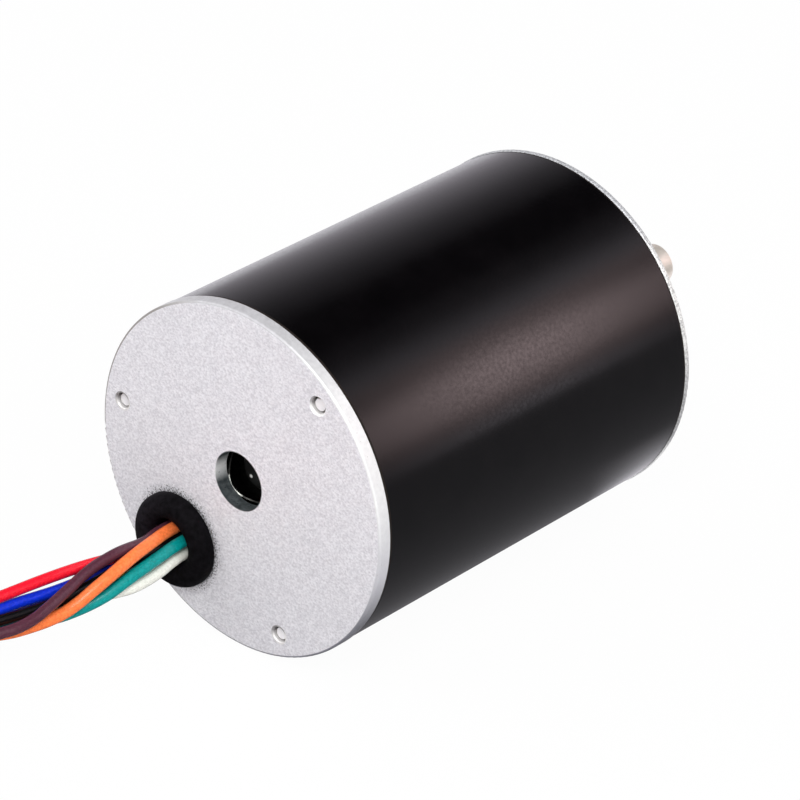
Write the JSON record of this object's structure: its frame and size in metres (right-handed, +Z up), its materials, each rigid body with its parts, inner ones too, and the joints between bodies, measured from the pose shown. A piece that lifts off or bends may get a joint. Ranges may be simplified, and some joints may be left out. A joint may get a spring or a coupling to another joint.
{
  "type": "brushless dc motor",
  "caption": "Cylindrical brushless dc motor with an output shaft, a pilot boss, threaded mounting holes and free leads through a rubber grommet.",
  "frame": {"origin": "centre of the front mounting face, on the shaft's axis", "axes": "+X along the shaft and out of the motor, +Z up from the surface that the motor and its leads lie on"},
  "size_m": [0.1686, 0.0524, 0.042],
  "materials": {
    "tube_anodised": "black anodised, satin",
    "cap_aluminium": "fine sand-blasted, clear anodised",
    "screw_steel": "zinc plated",
    "grommet_rubber": "matt moulded",
    "lamination_steel": "punched and stacked",
    "insulator_plastic": "moulded",
    "winding_copper": "enamelled wire",
    "board_laminate": "solder masked",
    "sensor_plastic": "moulded",
    "shaft_steel": "ground",
    "spring_steel": "bright",
    "bearing_steel": "ground",
    "cage_brass": "stamped",
    "shield_steel": "stamped",
    "magnet_coated": "epoxy coated",
    "lead_orange_insulation": "smooth",
    "lead_green_insulation": "smooth",
    "lead_white_insulation": "smooth",
    "lead_yellow_insulation": "smooth",
    "lead_blue_insulation": "smooth",
    "lead_red_insulation": "smooth",
    "lead_purple_insulation": "smooth",
    "lead_black_insulation": "smooth",
    "lead_mixed": "smooth",
    "tie_nylon": "moulded"
  },
  "bodies": {
    "housing": {"housing_tube": "tube_anodised", "front_cap": "cap_aluminium", "rear_cap": "cap_aluminium", "tie_screws": "screw_steel", "grommet": "grommet_rubber", "stator_core": "lamination_steel", "front_insulator": "insulator_plastic", "rear_insulator": "insulator_plastic", "coil_1": "winding_copper", "coil_2": "winding_copper", "coil_3": "winding_copper", "coil_4": "winding_copper", "coil_5": "winding_copper", "coil_6": "winding_copper", "coil_7": "winding_copper", "coil_8": "winding_copper", "coil_9": "winding_copper", "sensor_board": "board_laminate", "board_screws": "screw_steel", "hall_sensor_1": "sensor_plastic", "hall_sensor_2": "sensor_plastic", "hall_sensor_3": "sensor_plastic", "front_bearing_outer_race": "bearing_steel", "front_bearing_inner_shield": "shield_steel", "front_bearing_outer_shield": "shield_steel", "rear_bearing_outer_race": "bearing_steel", "rear_bearing_inner_shield": "shield_steel", "rear_bearing_outer_shield": "shield_steel", "wave_washer": "spring_steel", "lead_orange": "lead_orange_insulation", "lead_green": "lead_green_insulation", "lead_white": "lead_white_insulation", "lead_yellow": "lead_yellow_insulation", "lead_blue": "lead_blue_insulation", "lead_red": "lead_red_insulation", "lead_purple": "lead_purple_insulation", "lead_black": "lead_black_insulation", "lead_coil": "lead_mixed", "coil_tie": "tie_nylon"},
    "rotor": {"shaft": "shaft_steel", "rotor_core": "lamination_steel", "magnet_1": "magnet_coated", "magnet_2": "magnet_coated", "magnet_3": "magnet_coated", "magnet_4": "magnet_coated", "magnet_5": "magnet_coated", "magnet_6": "magnet_coated", "magnet_7": "magnet_coated", "magnet_8": "magnet_coated", "front_bearing_inner_race": "bearing_steel", "rear_bearing_inner_race": "bearing_steel"},
    "front_cage": {"front_bearing_balls": "bearing_steel", "front_bearing_cage": "cage_brass"},
    "rear_cage": {"rear_bearing_balls": "bearing_steel", "rear_bearing_cage": "cage_brass"}
  },
  "joints": [
    {"name": "shaft_spin", "type": "hinge", "parent": "housing", "child": "rotor", "pos_m": [0, 0, 0], "axis": [1, 0, 0], "continuous": true},
    {"name": "front_cage_spin", "type": "hinge", "parent": "housing", "child": "front_cage", "pos_m": [0, 0, 0], "axis": [1, 0, 0], "continuous": true},
    {"name": "rear_cage_spin", "type": "hinge", "parent": "housing", "child": "rear_cage", "pos_m": [0, 0, 0], "axis": [1, 0, 0], "continuous": true}
  ],
  "couplings": [
    {"joint": "front_cage_spin", "follows": "shaft_spin", "ratio": 0.39},
    {"joint": "rear_cage_spin", "follows": "shaft_spin", "ratio": 0.39}
  ]
}
